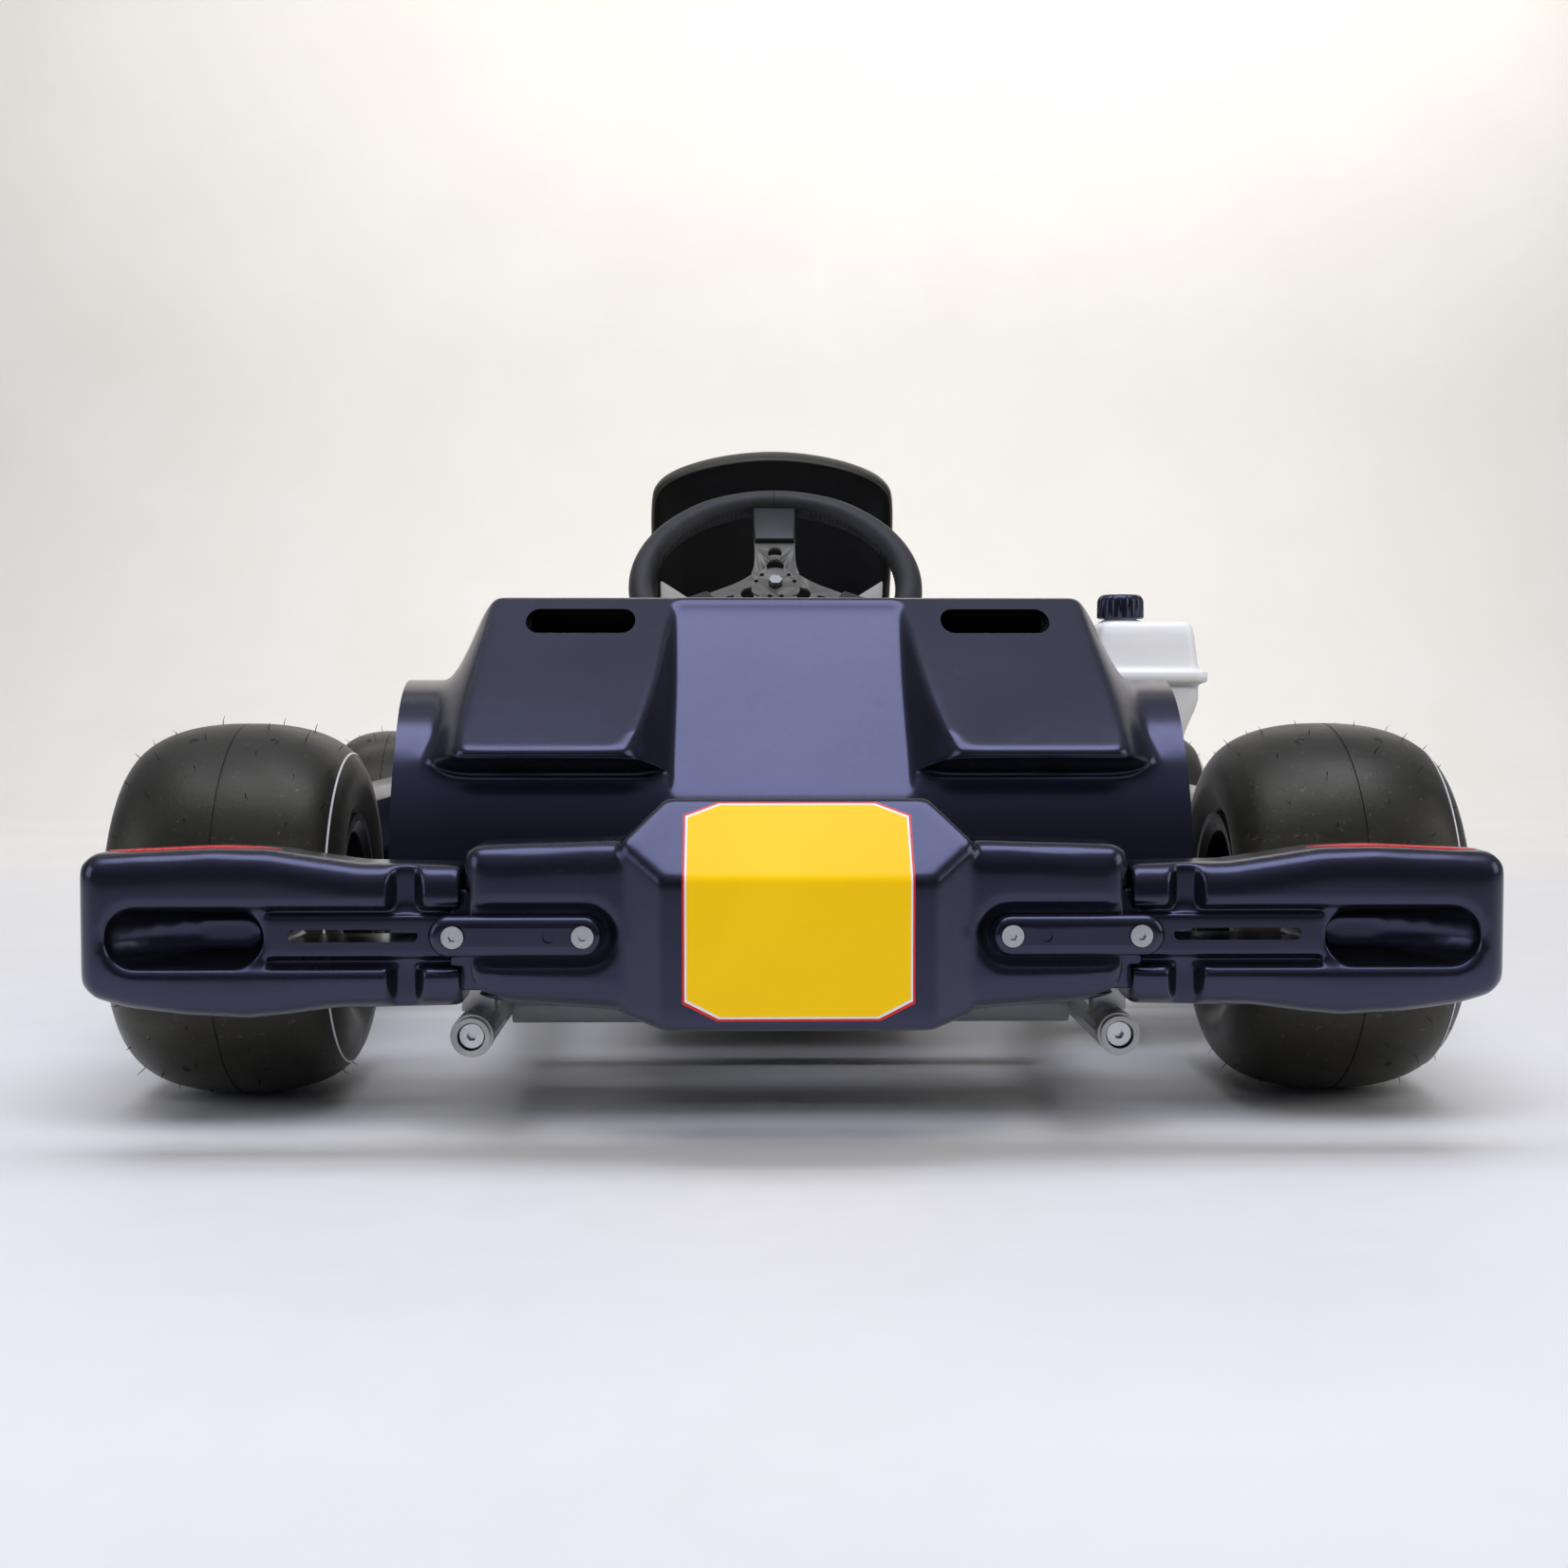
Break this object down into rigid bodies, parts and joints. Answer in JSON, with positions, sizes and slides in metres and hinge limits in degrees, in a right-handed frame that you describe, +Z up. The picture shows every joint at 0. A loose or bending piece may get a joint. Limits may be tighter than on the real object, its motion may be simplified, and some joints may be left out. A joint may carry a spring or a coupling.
{
  "type": "kart chassis",
  "caption": "Small racing kart rolling chassis: tube frame, slick tyres, steering, brake, bucket seat, tank, moulded cowl and a three-piece adjustable rear bumper.",
  "frame": {"origin": "on the ground, midway between the axles on the centre line", "axes": "+X to the driver's right, +Y forward, +Z up"},
  "size_m": [1.034, 1.52, 0.5719],
  "materials": {
    "frame_paint": "satin black powder coat",
    "zinc_steel": "zinc plated, slightly worn",
    "alloy": "machined, satin",
    "black_plastic": "moulded, semi matt with fine grain",
    "number_yellow": "glossy film with a red and white border",
    "tyre": "slick rubber, matt with a soft sheen",
    "grip": "wrapped grip, matt",
    "black_metal": "satin black",
    "tank_white": "milky moulded plastic",
    "seat_shell": "laminated shell",
    "pad_lining": "sintered lining",
    "gold_alloy": "anodised",
    "pedal_red": "gloss"
  },
  "bodies": {
    "chassis": {"frame_rail_left": "frame_paint", "frame_rail_right": "frame_paint", "cross_members": "frame_paint", "front_hoop": "frame_paint", "spindle_yokes": "frame_paint", "frame_tube_plugs": "alloy", "plug_bolts": "zinc_steel", "floor_tray": "alloy", "bearing_hangers": "frame_paint", "axle_bearings": "zinc_steel", "bumper_brackets": "alloy", "bumper_bars": "zinc_steel", "bumper_center": "black_plastic", "number_panel": "number_yellow", "rear_cowl": "black_plastic", "support_stays": "black_metal", "brake_caliper": "black_metal", "kingpins": "zinc_steel", "steering_support": "frame_paint", "pedal_brackets": "black_metal", "master_cylinder": "black_metal", "bucket_seat": "seat_shell", "fuel_tank": "tank_white", "nassau_panel": "black_plastic", "side_pods": "black_plastic", "nose_fairing": "black_plastic"},
    "wing_left": {"bumper_wing_left": "black_plastic", "bumper_strap_left": "black_plastic", "strap_bolts_left": "zinc_steel"},
    "wing_right": {"bumper_wing_right": "black_plastic", "bumper_strap_right": "black_plastic", "strap_bolts_right": "zinc_steel"},
    "axle": {"rear_axle": "zinc_steel", "rear_hubs": "alloy", "rear_rims": "alloy", "rear_tyres": "tyre", "rear_wheel_studs": "zinc_steel", "sprocket_carrier": "alloy", "rear_sprocket": "gold_alloy", "disc_carrier": "alloy", "brake_disc": "zinc_steel"},
    "pad_inner": {"brake_pad_inner": "pad_lining"},
    "pad_outer": {"brake_pad_outer": "pad_lining"},
    "spindle_left": {"spindle_left": "black_metal"},
    "spindle_right": {"spindle_right": "black_metal"},
    "front_wheel_left": {"front_hub_left": "alloy", "front_rim_left": "alloy", "front_tyre_left": "tyre"},
    "front_wheel_right": {"front_hub_right": "alloy", "front_rim_right": "alloy", "front_tyre_right": "tyre"},
    "steering": {"steering_column": "zinc_steel", "steering_wheel": "grip", "wheel_boss": "alloy"},
    "tie_rod_left": {"tie_rod_left": "alloy"},
    "tie_rod_right": {"tie_rod_right": "alloy"},
    "brake_pedal": {"brake_pedal": "pedal_red"},
    "throttle_pedal": {"throttle_pedal": "pedal_red"},
    "brake_rod": {"brake_rod": "zinc_steel"},
    "fuel_cap": {"fuel_cap": "black_plastic"}
  },
  "joints": [
    {"name": "axle_spin", "type": "hinge", "parent": "chassis", "child": "axle", "pos_m": [0, -0.475, 0.14], "axis": [1, 0, 0], "continuous": true},
    {"name": "steering_turn", "type": "hinge", "parent": "chassis", "child": "steering", "pos_m": [0, 0.075, 0.411], "axis": [0, -0.6691, 0.7431], "range_deg": [-40, 40]},
    {"name": "spindle_left_steer", "type": "hinge", "parent": "chassis", "child": "spindle_left", "pos_m": [-0.345, 0.475, 0.127], "axis": [0, 0, 1], "range_deg": [-20, 20]},
    {"name": "front_wheel_left_spin", "type": "hinge", "parent": "spindle_left", "child": "front_wheel_left", "pos_m": [-0.452, 0.475, 0.127], "axis": [1, 0, 0], "continuous": true},
    {"name": "tie_rod_left_pivot", "type": "hinge", "parent": "spindle_left", "child": "tie_rod_left", "pos_m": [-0.336, 0.387, 0.127], "axis": [0, 0, 1], "range_deg": [-20, 20]},
    {"name": "spindle_right_steer", "type": "hinge", "parent": "chassis", "child": "spindle_right", "pos_m": [0.345, 0.475, 0.127], "axis": [0, 0, 1], "range_deg": [-20, 20]},
    {"name": "front_wheel_right_spin", "type": "hinge", "parent": "spindle_right", "child": "front_wheel_right", "pos_m": [0.452, 0.475, 0.127], "axis": [1, 0, 0], "continuous": true},
    {"name": "tie_rod_right_pivot", "type": "hinge", "parent": "spindle_right", "child": "tie_rod_right", "pos_m": [0.336, 0.387, 0.127], "axis": [0, 0, 1], "range_deg": [-20, 20]},
    {"name": "brake_pedal_press", "type": "hinge", "parent": "chassis", "child": "brake_pedal", "pos_m": [-0.112, 0.549, 0.112], "axis": [-1, 0, 0], "range_deg": [0, 20], "stiffness_Nm_per_rad": 3, "springref_deg": -14.32},
    {"name": "throttle_pedal_press", "type": "hinge", "parent": "chassis", "child": "throttle_pedal", "pos_m": [0.112, 0.549, 0.112], "axis": [-1, 0, 0], "range_deg": [0, 20], "stiffness_Nm_per_rad": 3, "springref_deg": -14.32},
    {"name": "brake_rod_pull", "type": "slide", "parent": "chassis", "child": "brake_rod", "axis": [0, 1, 0], "range_m": [0, 0.0072]},
    {"name": "pad_inner_squeeze", "type": "slide", "parent": "chassis", "child": "pad_inner", "axis": [-1, 0, 0], "range_m": [0, 0.0011]},
    {"name": "pad_outer_squeeze", "type": "slide", "parent": "chassis", "child": "pad_outer", "axis": [1, 0, 0], "range_m": [0, 0.0011]},
    {"name": "wing_left_slide", "type": "slide", "parent": "chassis", "child": "wing_left", "axis": [-1, 0, 0], "range_m": [0, 0.03]},
    {"name": "wing_right_slide", "type": "slide", "parent": "chassis", "child": "wing_right", "axis": [1, 0, 0], "range_m": [0, 0.03]},
    {"name": "fuel_cap_turn", "type": "hinge", "parent": "chassis", "child": "fuel_cap", "pos_m": [0.292, -0.263, 0.37], "axis": [0, 0, 1], "range_deg": [0, 330]}
  ],
  "couplings": [
    {"joint": "spindle_left_steer", "follows": "steering_turn", "ratio": 0.5},
    {"joint": "tie_rod_left_pivot", "follows": "steering_turn", "ratio": -0.5},
    {"joint": "spindle_right_steer", "follows": "steering_turn", "ratio": 0.5},
    {"joint": "tie_rod_right_pivot", "follows": "steering_turn", "ratio": -0.5},
    {"joint": "brake_rod_pull", "follows": "brake_pedal_press", "m_per_rad": 0.02},
    {"joint": "pad_inner_squeeze", "follows": "brake_pedal_press", "m_per_rad": 0.0028},
    {"joint": "pad_outer_squeeze", "follows": "brake_pedal_press", "m_per_rad": 0.0028}
  ]
}
